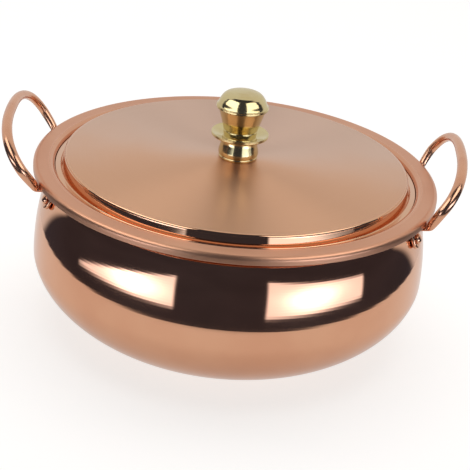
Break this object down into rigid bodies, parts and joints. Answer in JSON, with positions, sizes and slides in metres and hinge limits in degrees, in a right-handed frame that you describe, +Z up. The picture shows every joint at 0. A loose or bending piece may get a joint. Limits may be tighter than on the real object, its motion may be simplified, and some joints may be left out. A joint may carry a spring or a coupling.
{
  "type": "saucepan",
  "caption": "Bellied copper pan with a flanged rim, upright rod loop handles riveted to the shoulder, and a drop-in lid with a turned brass knob.",
  "frame": {"origin": "centre of the flat base, on the surface that the pan stands on", "axes": "+Z up along the pan's axis, +X towards handle_right, -Y towards the side that the picture was taken from"},
  "size_m": [0.2704, 0.24, 0.1472],
  "materials": {
    "polished_copper": "polished copper with a fine turned grain; tinned inside the pan and the lid",
    "polished_brass": "bright polished brass",
    "plain_steel": "plain steel"
  },
  "bodies": {
    "pan": {"pot_body": "polished_copper", "handle_right": "polished_copper", "handle_left": "polished_copper", "rivet_right_near": "polished_copper", "rivet_right_far": "polished_copper", "rivet_left_near": "polished_copper", "rivet_left_far": "polished_copper"},
    "cover": {"lid": "polished_copper", "lid_knob": "polished_brass", "knob_screw": "plain_steel", "knob_washer": "plain_steel"}
  },
  "joints": [
    {"name": "lid_lift", "type": "slide", "parent": "pan", "child": "cover", "axis": [0, 0, 1], "range_m": [0, 0.1]}
  ]
}
